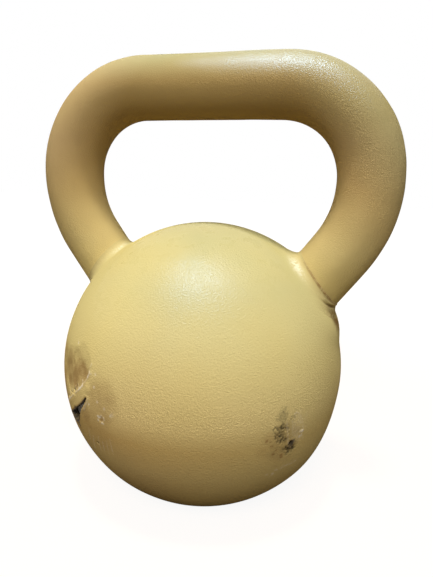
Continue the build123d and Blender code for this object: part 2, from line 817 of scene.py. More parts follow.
@dataclass
class BarHandle:
    """The bent round bar: grip, two shoulders, two horns and the feet that go into the ball."""

    bar_radius: float = 16.4
    grip_length: float = 75.0
    grip_height: float = 217.5
    shoulder_radius: float = 45.8
    shoulder_angle: float = 88.6
    horn_radius: float = 62.6
    horn_angle: float = 37.2
    foot_length: float = 18.8
    sunk_length: float = 16.0
    ring_step: float = 1.5
    around: int = 88
    lump: float = 22.0
    lump_height: float = 0.22
    ripple: float = 7.0
    ripple_height: float = 0.07
    level_reach: Point = (10.0, 30.0)
    uneven: Unevenness = Unevenness(5)

    def half_line(self) -> tuple[np.ndarray, np.ndarray]:
        """Trace the bar's axis from the middle of the grip to the end of the right foot.

        Returns:
            Places and directions, as rows of x, z.
        """
        runs = (
            (self.grip_length / 2.0, 0.0),
            (self.shoulder_radius * radians(self.shoulder_angle), 1.0 / self.shoulder_radius),
            (self.horn_radius * radians(self.horn_angle), 1.0 / self.horn_radius),
            (self.foot_length + self.sunk_length, 0.0),
        )
        places, headings = [np.array([0.0, self.grip_height])], [0.0]
        for length, bend in runs:
            steps = max(2, round(length / self.ring_step))
            for _ in range(steps):
                stride = length / steps
                middle = headings[-1] - bend * stride / 2.0
                chord = stride if bend == 0.0 else 2.0 / bend * sin(bend * stride / 2.0)
                places.append(places[-1] + chord * np.array([cos(middle), sin(middle)]))
                headings.append(headings[-1] - bend * stride)
        turns = np.array(headings)
        return np.array(places), np.stack([np.cos(turns), np.sin(turns)], axis=1)

    def foot(self, side: Side) -> tuple[np.ndarray, np.ndarray]:
        """Give the place where the bar's axis meets the ball, and the axis's direction out of it.

        Args:
            side: Which foot.

        Returns:
            The place and the direction, as x, y, z.
        """
        places, headings = self.half_line()
        place = places[-1] - headings[-1] * self.sunk_length
        flip = np.array([side.value, 1.0, 1.0])
        return (np.array([place[0], 0.0, place[1]]) * flip,
                -np.array([headings[-1][0], 0.0, headings[-1][1]]) * flip)

    def build(self) -> bpy.types.Object:
        """Sweep the bar, a little uneven as a coated bar is, and close its ends inside the ball.

        Returns:
            The bar's object.
        """
        places, headings = self.half_line()
        mirror = np.array([-1.0, 1.0])
        places = np.concatenate([places[:0:-1] * mirror, places])
        headings = np.concatenate([headings[:0:-1] * -mirror, headings])
        turn = (np.arange(self.around) * 2.0 * pi / self.around)[None, :, None]
        level = np.zeros(len(places))
        axis = np.stack([places[:, 0], level, places[:, 1]], axis=1)
        normals = np.stack([-headings[:, 1], level, headings[:, 0]], axis=1)
        ring = np.cos(turn) * normals[:, None, :] + np.sin(turn) * np.array(FRONT)
        out = ring.reshape(-1, 3)
        spots = (axis[:, None, :] + self.bar_radius * ring).reshape(-1, 3)
        rise = self.lump_height * self.uneven.sample(spots, self.lump)
        rise = rise + self.ripple_height * self.uneven.sample(spots, self.ripple)
        feet = np.array([self.foot(side)[0] for side in Side])
        gap = np.linalg.norm(axis[:, None, :] - feet, axis=2).min(axis=1)
        rise = rise * np.repeat(1.0 - fade(gap, *self.level_reach), self.around)
        faces = tube_faces(len(places), self.around, False)
        faces.append(list(range(self.around))[::-1])
        faces.append([(len(places) - 1) * self.around + spot for spot in range(self.around)])
        piece = mesh_object("coated_bar", spots + rise[:, None] * out, faces)
        store_masks(piece, {})
        return piece

    def dress(self, piece: bpy.types.Object) -> None:
        """Give the bar its coat and its place in the frame.

        Args:
            piece: The bar's object.
        """
        coat = OchreCoat(
            "bar_coat",
            # Painted shade: the horns and the underside of the grip darker and browner, the top of the grip
            # lighter and greener
            tones=(
                (112.0, (0.685, 0.545, 0.205, 1.0)),
                (136.0, (0.592, 0.458, 0.186, 1.0)),
                (167.0, (0.480, 0.330, 0.131, 1.0)),
                (190.0, (0.394, 0.258, 0.107, 1.0)),
                (209.0, (0.360, 0.241, 0.084, 1.0)),
                (218.0, (0.375, 0.256, 0.094, 1.0)),
                (229.0, (0.385, 0.336, 0.160, 1.0)),
                (234.0, (0.385, 0.365, 0.200, 1.0)),
            ),
            cloud=(0.420, 0.290, 0.100, 1.0),
            pebble=0.70,
            pebble_depth=0.10,
            grain_depth=0.12,
            grain_span=(-190.0, -80.0),
            # Painted reflection: a greyish green cast on the right shoulder; painted sheen: a paler band on
            # the left shoulder
            light_washes=(
                LightWash((0.345, 0.325, 0.155, 1.0), (0.8, 0.0, 0.6), (163.0, 188.0), 0.55),
                LightWash((0.550, 0.400, 0.190, 1.0), (-0.8, 0.0, 0.6), (160.0, 186.0), 0.50),
            ),
            roughness=0.31,
            shine_axis=(0.15, -0.80, 0.59),
            shine_span=(141.7, 151.0),
            gloss=0.19,
        )
        piece.data.materials.append(coat.material())
        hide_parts("handle")
        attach(piece, "root")


@dataclass(frozen=True)
class RingCut:
    """A cut through a weld ring in one direction round the bar, measured from the ball's centre."""

    turn: float
    axis: np.ndarray
    away: np.ndarray
    corner: np.ndarray

    @property
    def degrees(self) -> float:
        """Angle round the bar from -180 to 180, with 0 outward and 90 to the front."""
        return (self.turn * 180.0 / pi + 180.0) % 360.0 - 180.0

    @property
    def inward(self) -> float:
        """How far the cut faces the other foot, from 0 to 1."""
        return 0.5 - 0.5 * cos(self.turn)

    @property
    def normal(self) -> np.ndarray:
        """Direction out of the ball at the corner."""
        return self.corner / np.linalg.norm(self.corner)

    @property
    def skin(self) -> np.ndarray:
        """Direction along the ball, away from the bar."""
        along = self.away - (self.away @ self.normal) * self.normal
        return along / np.linalg.norm(along)


@dataclass
class WeldCollar:
    """The filled corner between one foot of the bar and the ball, drawn down in a fold where it sagged.

    Turns are angles round the bar, in degrees, apart from crease_turn, which is in radians. Places along
    a cut run from 0 on the ball to 1 on the bar.
    """

    side: Side
    handle: BarHandle
    ball_radius: float
    ball_centre: np.ndarray
    spread: float = 6.5
    gather: float = 0.1
    climb: float = 5.0
    climb_least: float = 0.75
    climb_gain: float = 0.45
    lip: float = 0.03
    lip_least: float = 0.2
    roll: float = 0.1
    roll_angles: Triple = (30.0, 60.0, 90.0)
    sunk: float = 4.0
    buried: float = 2.5
    toe: Point = (0.4, 1.2)
    around: int = 180
    across: int = 30
    seed: int = 11
    lump: float = 7.0
    lump_height: float = 0.22
    dimple: float = 2.4
    dimple_height: float = 0.06
    fill: float = 0.62
    sharp_angle: float = 50.0
    crease_turn: float = 0.4
    crease_power: float = 0.8
    # Painted shade: how dark the crease under the lip is painted
    crease_shade: float = 1.8
    crease_reach: float = 0.13
    fold_depth: float = 0.0
    fold_turn: float = 30.0
    fold_reach: float = 30.0
    fold_width: float = 0.095
    fold_start: float = 0.93
    fold_slant: float = 0.0066
    fold_limits: Point = (0.15, 0.90)
    bead_share: float = 0.4
    bead_gap: float = 0.16
    bead_width: float = 0.10
    tint_reach: float = 0.85
    # Painted shadow of the horn on the ring's outer flank
    painted_shadow: float = 0.0
    painted_shadow_turn: float = 20.0
    painted_shadow_reach: float = 30.0
    painted_shadow_span: Point = (0.25, 0.70)
    # Painted highlight on the ring's crown
    painted_sheen: float = 0.48
    sheen_turn: float = 146.0
    sheen_reach: float = 20.0
    sheen_power: int = 5

    def build(self) -> bpy.types.Object:
        """Lay the ring's section all round the foot, a little lumpy between its two edges.

        Returns:
            The ring's object.
        """
        foot, axis = self.handle.foot(self.side)
        turns = np.arange(self.around) * 2.0 * pi / self.around
        sections = [self._section(self._cut(foot, axis, turn)) for turn in turns]
        length = len(sections[0][0])
        points = np.concatenate([section for section, _ in sections])
        masks = {mask: np.concatenate([weights[mask] for _, weights in sections]) for mask in Mask}
        between = np.zeros(length)
        between[:self.across] = np.sin(np.linspace(0.0, pi, self.across))
        uneven = Unevenness(self.seed + self.side.value)
        rise = self.lump_height * uneven.sample(points, self.lump)
        rise = rise + self.dimple_height * uneven.sample(points, self.dimple)
        rise = rise * np.tile(between, self.around)
        out = points - self.ball_centre
        points = points + rise[:, None] * out / np.linalg.norm(out, axis=1)[:, None]
        faces = tube_faces(self.around, length, True)
        if self.side is Side.LEFT:
            faces = [face[::-1] for face in faces]
        piece = mesh_object(f"{self.side.name.lower()}_weld_ring", points, faces)
        piece.data.set_sharp_from_angle(angle=radians(self.sharp_angle))
        store_masks(piece, masks)
        return piece

    def _cut(self, foot: np.ndarray, axis: np.ndarray, turn: float) -> RingCut:
        """Find the corner between the bar and the ball in one direction round the bar.

        Args:
            foot: Where the bar's axis meets the ball.
            axis: Direction of the bar out of the ball.
            turn: Angle round the bar in radians, 0 outward and a quarter turn to the front.

        Returns:
            The cut.
        """
        outer = np.cross(np.array([0.0, 1.0, 0.0]), axis) * self.side.value
        away = cos(turn) * outer + sin(turn) * np.array(FRONT)
        bar = foot + self.handle.bar_radius * away - self.ball_centre
        half = bar @ axis
        rise = (half * half - bar @ bar + self.ball_radius**2) ** 0.5 - half
        return RingCut(turn, axis, away, bar + rise * axis)

    def _creased(self, cut: RingCut) -> float:
        """Tell how far the ring stands off the bar in a crease, from 0 to 1."""
        return max(0.0, sin(cut.turn + self.crease_turn)) ** self.crease_power

    def _fold(self, cut: RingCut, part: np.ndarray) -> tuple[np.ndarray, np.ndarray]:
        """Weigh the fold along a cut, and the bead that was pushed up beside it.

        Args:
            cut: The cut.
            part: Places along the cut.

        Returns:
            The weights of the fold and of the bead, from 0 to 1.
        """
        low, high = self.fold_limits
        strength = hill(cut.degrees, self.fold_turn, self.fold_reach)
        middle = min(high, max(low, self.fold_start - self.fold_slant * cut.degrees))
        fold = strength * hill(part, middle, self.fold_width)
        return fold, strength * hill(part, middle + self.bead_gap, self.bead_width)

    def _section(self, cut: RingCut) -> tuple[np.ndarray, dict[Mask, np.ndarray]]:
        """Draw the ring's closed section in one cut.

        Args:
            cut: The cut.

        Returns:
            The section's points, and the weight of each mask at them.
        """
        axis, away, normal, skin = cut.axis, cut.away, cut.normal, cut.skin
        spread = self.spread * (1.0 - self.gather + 2.0 * self.gather * cut.inward)
        climb = self.climb * (self.climb_least + self.climb_gain * cut.inward)
        lip = self.lip * (self.lip_least + (1.0 - self.lip_least) * self._creased(cut))
        reach = spread / self.ball_radius
        start = self.ball_radius * (cos(reach) * normal + sin(reach) * skin)
        slope = cos(reach) * skin - sin(reach) * normal
        top = cut.corner + climb * axis
        end = top + lip * away
        part = np.linspace(0.0, 1.0, self.across)
        rest = 1.0 - part
        curve = (np.outer(rest**3, start)
                 + np.outer(3.0 * rest**2 * part, start - self.fill * spread * slope)
                 + np.outer(3.0 * rest * part**2, end - self.fill * climb * axis)
                 + np.outer(part**3, end))
        fold, bead = self._fold(cut, part)
        proud = (axis + skin) / np.linalg.norm(axis + skin)
        curve = curve + np.outer((self.bead_share * bead - fold) * self.fold_depth, proud)
        bend = np.radians(self.roll_angles)
        radius = lip + self.roll
        rolled = end + np.outer(radius * np.sin(bend), axis)
        rolled = rolled - np.outer(radius * (1.0 - np.cos(bend)), away)
        toe_out, toe_down = self.toe
        hidden = np.array([
            top - self.buried * away,
            cut.corner - self.sunk * axis - self.buried * away,
            start - self.buried * normal,
            start + toe_out * slope - toe_down * normal,
        ])
        masks = self._masks(cut, part, len(rolled), len(hidden))
        return np.concatenate([curve, rolled, hidden]) + self.ball_centre, masks

    def _masks(self, cut: RingCut, part: np.ndarray, rolled: int, hidden: int) -> dict[Mask, np.ndarray]:
        """Weigh the masks along a section: the bar's colour, painted shade in the crease, the fold and the
        horn's shadow, and a painted highlight on the crown.

        Args:
            cut: The cut.
            part: Places along the cut.
            rolled: How many points follow on the rolled edge.
            hidden: How many points follow inside the ball.

        Returns:
            The weights of each mask.
        """
        rest = 1.0 - part
        fold, _ = self._fold(cut, part)
        # Painted shade, laid in the soot mask: the crease under the lip, the fold and the horn's shadow on
        # the flank
        crease = self.crease_shade * self.lip * self._creased(cut) * fade(rest, 0.0, self.crease_reach)
        painted_shadow = self.painted_shadow * hill(cut.degrees, self.painted_shadow_turn, self.painted_shadow_reach)
        painted_shadow = painted_shadow * (1.0 - fade(rest, *self.painted_shadow_span))
        dark = np.maximum(np.maximum(self.fold_depth * fold, crease), painted_shadow)
        # Painted highlight on the crown, laid in the pale mask
        painted_highlight = self.painted_sheen * hill(cut.degrees, self.sheen_turn, self.sheen_reach)
        pale_and_highlight = painted_highlight * np.sin(pi * part) ** self.sheen_power
        seen = {
            Mask.GRIME_AND_SHADE: (fade(rest, 0.0, self.tint_reach), 1.0),
            Mask.SOOT_AND_SHADE: (dark, dark[-1]),
            Mask.PALE_AND_HIGHLIGHT: (pale_and_highlight, 0.0),
        }
        return {mask: np.concatenate([weights, np.full(rolled, edge), np.zeros(hidden)])
                for mask, (weights, edge) in seen.items()}

    def dress(self, piece: bpy.types.Object) -> None:
        """Give the ring its coat and its place in the frame.

        Args:
            piece: The ring's object.
        """
        coat = OchreCoat(
            f"{piece.name}_coat",
            grime_and_shade=(0.540, 0.430, 0.182, 1.0),
            # Colour of the painted shade in the crease, the fold and the horn's shadow
            soot_and_shade=(0.300, 0.190, 0.070, 1.0),
            # Colour of the painted highlight on the crown
            pale_and_highlight=(0.800, 0.770, 0.560, 1.0),
        )
        piece.data.materials.append(coat.material())
        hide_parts(f"{self.side.name.lower()}_weld_collar")
        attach(piece, "root")


@dataclass
class BallJacket:
    """The thick skin of the ball, with openings for the feet of the bar, its worn places and a painted
    shadow on its right flank.
    """

    worn: tuple[MarkedPlace, ...]
    feet: tuple[np.ndarray, ...]
    radius: float = 80.0
    centre_height: float = 67.0
    wall: float = 3.0
    base_edge: float = 4.0
    opening: float = 19.0
    cells: int = 52
    finer: int = 6
    snap: float = 0.9
    hole_facing: float = 0.5
    opening_snap: float = 1.3
    swell: float = 30.0
    swell_height: float = 0.16
    level_reach: Point = (25.0, 40.0)
    level_below: Point = (0.70, 0.82)
    pressed: SkinPatch = SkinPatch(88.0, 3.0, 80.0)
    pressed_depth: float = 2.4
    pressed_reach: Point = (12.0, 62.0)
    rim_grime: float = 0.55
    rim_reach: Point = (0.1, 1.3)
    uneven: Unevenness = Unevenness(2)
    masks: dict[Mask, np.ndarray] = field(default_factory=dict)

    @property
    def centre(self) -> np.ndarray:
        """Centre of the ball in millimetres."""
        return np.array([0.0, 0.0, self.centre_height])

    def build(self) -> bpy.types.Object:
        """Make the skin as one mesh with a real wall and real holes.

        Returns:
            The skin's object.
        """
        ball = self._ball_of_quads()
        for place in self.worn:
            self._refine(ball, place)
        for place in self.worn:
            for outline in place.holes:
                self._cut_hole(ball, place.patch, outline)
        for foot in self.feet:
            self._cut_opening(ball, foot)
        ball.verts.index_update()
        directions = np.array([vert.co[:] for vert in ball.verts])
        faces = [[vert.index for vert in face.verts] for face in ball.faces]
        ball.free()
        height = self._profile(directions) + self._relief(directions)
        piece = mesh_object("ball_skin", self.centre + directions * height[:, None], faces)
        store_masks(piece, self.masks)
        wall = piece.modifiers.new("wall", "SOLIDIFY")
        wall.thickness = self.wall * MM
        wall.offset = -1.0
        wall.material_offset_rim = 1
        return piece

    def _ball_of_quads(self) -> bmesh.types.BMesh:
        """Wrap a cube of even cells on to the unit ball.

        Returns:
            The ball.
        """
        ball = bmesh.new()
        bmesh.ops.create_cube(ball, size=2.0)
        bmesh.ops.subdivide_edges(ball, edges=ball.edges[:], cuts=self.cells - 1, use_grid_fill=True)
        for vert in ball.verts:
            vert.co = Vector([tan(value * pi / 4.0) for value in vert.co]).normalized()
        return ball

    def _refine(self, ball: bmesh.types.BMesh, place: MarkedPlace) -> None:
        """Split the cells of a worn place finer.

        Args:
            ball: The unit ball.
            place: The worn place.
        """
        ball.verts.index_update()
        directions = np.array([vert.co[:] for vert in ball.verts])
        covered = place.covers(directions, place.fine_low, place.fine_high)
        edges = [edge for edge in ball.edges if all(covered[vert.index] for vert in edge.verts)]
        bmesh.ops.subdivide_edges(ball, edges=edges, cuts=self.finer, use_grid_fill=True)
        for vert in ball.verts:
            vert.co.normalize()

    def _cut_hole(self, ball: bmesh.types.BMesh, patch: SkinPatch, outline: tuple[Point, ...]) -> None:
        """Take out the cells inside an outline and draw the edge that is left on to it.

        Args:
            ball: The unit ball.
            patch: The patch that the outline is drawn on.
            outline: Corners of the hole.
        """
        faces = ball.faces[:]
        middles = np.array([face.calc_center_median()[:] for face in faces])
        middles = middles / np.linalg.norm(middles, axis=1)[:, None]
        facing = middles @ patch.axes()[0] > self.hole_facing
        gone = inside(patch.flat(middles), outline) & facing
        bmesh.ops.delete(ball, geom=[face for face, out in zip(faces, gone) if out], context="FACES")
        rim = [vert for vert in ball.verts if vert.is_boundary]
        flat = patch.flat(np.array([vert.co[:] for vert in rim]))
        gap, nearest = line_distance(flat, outline + outline[:1])
        for vert, far, target in zip(rim, gap, patch.directions(nearest)):
            if far < self.snap:
                vert.co = Vector(target)

    def _cut_opening(self, ball: bmesh.types.BMesh, foot: np.ndarray) -> None:
        """Take out a round opening for a foot of the bar.

        Args:
            ball: The unit ball.
            foot: Where the bar's axis meets the ball.
        """
        toward = foot - self.centre
        toward = toward / np.linalg.norm(toward)
        limit = self.opening / self.radius
        gone = [face for face in ball.faces
                if face.calc_center_median().normalized() @ Vector(toward) > cos(limit)]
        bmesh.ops.delete(ball, geom=gone, context="FACES")
        for vert in ball.verts:
            along = float(np.array(vert.co[:]) @ toward)
            if vert.is_boundary and along > cos(limit * self.opening_snap):
                across = np.array(vert.co[:]) - along * toward
                across = across / np.linalg.norm(across)
                vert.co = Vector(cos(limit) * toward + sin(limit) * across)

    def _profile(self, directions: np.ndarray) -> np.ndarray:
        """Measure the plain ball from its centre: a sphere with a flat base and a rounded edge round it.

        Args:
            directions: Unit rows of x, y, z.

        Returns:
            The distance to the surface in each direction, in millimetres.
        """
        down = np.clip(-directions[:, 2], TINY, 1.0)
        sideways = np.sqrt(1.0 - np.minimum(down, 1.0) ** 2)
        edge_down = self.centre_height - self.base_edge
        edge_out = ((self.radius - self.base_edge) ** 2 - edge_down**2) ** 0.5
        along = down * edge_down + sideways * edge_out
        inner = along**2 - (self.radius - self.base_edge) ** 2 + self.base_edge**2
        on_edge = along + np.sqrt(np.maximum(inner, 0.0))
        angle = np.arctan2(sideways, down)
        flat = angle < np.arctan2(edge_out, self.centre_height)
        rounded = ~flat & (angle < np.arctan2(edge_out, edge_down))
        height = np.where(rounded, on_edge, self.radius)
        return np.where(flat & (directions[:, 2] < 0), self.centre_height / down, height)

    def _relief(self, directions: np.ndarray) -> np.ndarray:
        """Raise and sink the skin by its swell and its wear, and fill in the masks of wear and painted
        shadow.

        Args:
            directions: Unit rows of x, y, z.

        Returns:
            What is added to the distance from the centre, in millimetres.
        """
        spots = directions * self.radius
        keep = fade(-directions[:, 2], *self.level_below)
        for foot in self.feet:
            toward = (foot - self.centre) / np.linalg.norm(foot - self.centre)
            gap = np.arccos(np.clip(directions @ toward, -1.0, 1.0)) * self.radius
            keep = keep * (1.0 - fade(gap, *self.level_reach))
        rise = self.swell_height * self.uneven.sample(spots, self.swell) * keep
        from_middle = np.hypot(*self.pressed.flat(directions).T)
        rise -= self.pressed_depth * fade(from_middle, *self.pressed_reach) * keep
        self.masks = {mask: np.zeros(len(directions)) for mask in Mask}
        for place in self.worn:
            near = place.covers(directions, place.low, place.high)
            flat = place.patch.flat(directions[near])
            local = np.zeros(near.sum())
            for mark in place.marks:
                weight = mark.weight(flat, spots[near], self.uneven)
                local += mark.rise * weight
                layer = self.masks[mark.mask]
                layer[near] = np.maximum(layer[near], mark.strength * weight)
            for outline in place.holes:
                gap, _ = line_distance(flat, outline + outline[:1])
                local += place.lip_rise * fade(gap, 0.0, place.lip_width)
                layer = self.masks[Mask.GRIME_AND_SHADE]
                layer[near] = np.maximum(layer[near], self.rim_grime * fade(gap, *self.rim_reach))
            rise[near] += local
        return rise

    def dress(self, piece: bpy.types.Object) -> None:
        """Give the skin its coat, its torn edges and its place in the frame.

        Args:
            piece: The skin's object.
        """
        piece.data.materials.append(OchreCoat("pebbled_vinyl").material())
        piece.data.materials.append(TornEdge().material())
        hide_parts("ball_jacket")
        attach(piece, "root")


@dataclass
class IronCore:
    """The cast weight under the skin, which shows through the tear."""

    node: str = "ball_core"

    def dress(self) -> None:
        """Give the CAD core its rough iron finish."""
        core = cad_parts[self.node]
        core.data.materials.clear()
        core.data.materials.append(RoughIron().material())


def left_wear(radius: float) -> MarkedPlace:
    """Describe the tear and the scuffs low on the left of the ball.

    Args:
        radius: Radius of the ball in millimetres.

    Returns:
        The worn place.
    """
    tear = (
        (6.6, 3.8), (4.0, 0.0), (1.1, -3.5), (-1.5, -7.0), (-3.4, -10.7), (-5.2, -14.3), (-6.3, -17.3),
        (-8.5, -17.8), (-9.6, -16.2), (-11.8, -16.9), (-15.0, -15.9), (-18.5, -14.6), (-16.2, -12.2),
        (-12.6, -10.6), (-11.0, -9.0), (-9.0, -8.2), (-7.2, -5.8), (-4.7, -4.9), (-1.7, -2.8), (1.7, 0.1),
        (5.4, 3.9),
    )
    cracked_edge = (
        (((7.8, 21.1), (6.7, 18.8)), 0.50, 0.40), (((7.0, 17.2), (6.6, 15.2), (5.7, 13.7)), 0.85, 0.95),
        (((5.1, 12.9), (3.2, 10.2)), 0.55, 0.55), (((2.5, 9.0), (0.6, 7.0), (-1.6, 5.2)), 0.90, 0.95),
        (((-2.6, 4.5), (-5.9, 1.9)), 0.65, 0.65), (((-7.2, 0.7), (-10.5, -1.7)), 0.60, 0.60),
        (((-11.6, -2.5), (-14.6, -4.6), (-17.6, -6.0)), 0.95, 0.95),
    )
    splinters = (
        ((2.6, 9.6), (0.6, 11.0)), ((-1.5, 5.4), (-3.4, 7.4)), ((-4.8, 2.9), (-6.8, 5.2)),
        ((-8.6, -0.2), (-10.4, 2.0)), ((-12.4, -2.9), (-14.6, -0.6)), ((6.9, 15.6), (8.6, 16.4)),
    )
    chips = (
        ((15.0, -2.7), (1.4, 0.9), 0.95), ((18.3, -2.7), (0.8, 1.3), 0.80),
        ((17.1, -5.5), (1.3, 0.8), 0.95), ((14.3, -4.8), (0.7, 1.0), 0.65),
        ((16.9, -1.6), (0.7, 0.5), 0.60),
    )
    scratches = (
        ((6.6, -16.9), (2.6, -27.4)), ((13.8, -17.5), (12.6, -24.1)), ((20.2, -13.6), (19.3, -22.9)),
        ((11.5, -15.0), (9.4, -24.7)), ((4.1, -13.7), (1.8, -21.1)), ((17.2, -15.5), (15.9, -24.0)),
    )
    flecks = (
        (22.8, 0.1), (18.9, 2.5), (11.7, 17.1), (11.7, 10.8), (-9.4, 28.4), (-8.2, 26.4), (14.2, 4.6),
        (7.9, 1.2),
    )
    pits = ((-16.4, -3.7), (-3.9, 6.1), (-11.4, 0.2), (-7.2, 3.2))
    mottles = (
        (-13.0, 9.5), (-6.5, 10.5), (-2.5, 14.5), (-9.0, 15.0), (2.2, 16.5), (-15.5, 5.0), (-5.0, 18.0),
    )
    rubs = tuple(((across, 20.5), (across - 1.5, 7.0)) for across in (-16.0, -11.5, -7.5, -3.0, 1.5))
    marks = (
        Stroke(Mask.GRIME_AND_SHADE, ((-17.0, 10.0), (-9.0, 13.0), (-4.0, 15.5)),
               width=12.5, strength=0.34, rise=-1.0, ragged=0.2, pitch=6.0),
        Stroke(Mask.GRIME_AND_SHADE, ((-15.5, 7.0), (-7.0, 11.0), (0.5, 15.0)),
               width=9.5, strength=0.80, ragged=0.3, pitch=3.0),
        # Two broad strokes darken the skin towards the left edge of the ball
        Stroke(Mask.GRIME_AND_SHADE, ((-27.0, -1.0), (-25.0, 8.0), (-17.0, 14.0)),
               width=10.0, strength=0.66, ragged=0.3, pitch=4.0),
        Stroke(Mask.GRIME_AND_SHADE, ((-37.0, -1.0), (-35.0, 8.0), (-29.0, 16.0)),
               width=11.0, strength=0.50, ragged=0.3, pitch=4.0),
        *(Stain(Mask.GRIME_AND_SHADE, mottle, half=(3.4, 2.3), strength=0.70, ragged=0.8, pitch=1.8)
          for mottle in mottles),
        *(Stroke(Mask.GRIME_AND_SHADE, rub, width=1.3, strength=0.42, ragged=0.5, pitch=2.0) for rub in rubs),
        Stroke(Mask.PALE_AND_HIGHLIGHT, ((7.3, 3.4), (4.9, -0.6), (2.2, -4.2)),
               width=0.6, strength=0.45, rise=0.15, ragged=0.5),
        # Darkens the skin right of the crack: partly brown dirt, partly painted shade of a dent
        Stain(Mask.GRIME_AND_SHADE, (15.5, 5.0), half=(11.5, 14.0), strength=0.45, ragged=0.25, pitch=6.0),
        Stain(Mask.GRIME_AND_SHADE, (9.0, -12.0), half=(15.0, 13.0), strength=0.24, ragged=0.25, pitch=6.0),
        Stain(Mask.GRIME_AND_SHADE, (4.0, -4.5), half=(4.5, 9.0), strength=0.50, ragged=0.40, pitch=2.5),
        Stroke(Mask.PALE_AND_HIGHLIGHT, ((5.0, 8.0), (-2.0, 1.5), (-10.0, -5.0), (-17.0, -9.0)),
               width=4.5, strength=0.0, rise=0.4, ragged=0.0),
        *(Stroke(Mask.PALE_AND_HIGHLIGHT, line, width=width, strength=strength, rise=0.12, ragged=0.6, pitch=1.1)
          for line, width, strength in cracked_edge),
        *(Stroke(Mask.PALE_AND_HIGHLIGHT, splinter, width=0.60, strength=0.50, rise=0.12, ragged=0.8, pitch=0.9)
          for splinter in splinters),
        *(Stain(Mask.SOOT_AND_SHADE, pit, half=(1.2, 0.8), strength=0.55, rise=-0.3, pitch=1.2) for pit in pits),
        *(Stain(Mask.PALE_AND_HIGHLIGHT, centre, half=half, strength=strength, rise=0.12, ragged=0.5, pitch=0.9)
          for centre, half, strength in chips),
        Stain(Mask.GRIME_AND_SHADE, (16.4, -3.9), half=(1.6, 1.5), strength=0.80, rise=-0.4, ragged=0.3),
        Stain(Mask.SOOT_AND_SHADE, (9.0, -20.2), half=(0.9, 0.9), strength=0.85, rise=-0.6),
        *(Stain(Mask.PALE_AND_HIGHLIGHT, fleck, half=(0.8, 1.0), strength=0.60, pitch=1.0) for fleck in flecks),
        *(Stroke(Mask.PALE_AND_HIGHLIGHT, scratch, width=0.50, strength=0.32, rise=-0.08, ragged=0.4)
          for scratch in scratches),
    )
    return MarkedPlace(
        SkinPatch(-32.0, -2.0, radius),
        low=(-52.0, -34.0),
        high=(34.0, 34.0),
        marks=marks,
        fine_low=(-22.0, -28.0),
        fine_high=(24.0, 30.0),
        holes=(tear,),
        lip_rise=0.30,
        lip_width=2.2,
    )


def right_flank_shadow(radius: float) -> MarkedPlace:
    """Describe the painted shadow that the right horn casts on the right flank of the ball, under the
    sagging weld.

    Args:
        radius: Radius of the ball in millimetres.

    Returns:
        The place that holds the painted shadow.
    """
    # Painted shadow of the right horn: a brown band with a little dark down the flank
    marks = (
        Stroke(Mask.GRIME_AND_SHADE, ((2.0, 14.0), (3.5, 6.0), (5.0, -2.0)),
               width=10.5, strength=1.00, ragged=0.2, pitch=4.0),
        Stroke(Mask.SOOT_AND_SHADE, ((3.0, 14.0), (4.5, 7.0), (6.0, 0.0)),
               width=9.5, strength=0.22, ragged=0.2, pitch=4.0),
    )
    return MarkedPlace(SkinPatch(82.0, 27.0, radius), low=(-18.0, -22.0), high=(22.0, 22.0), marks=marks)


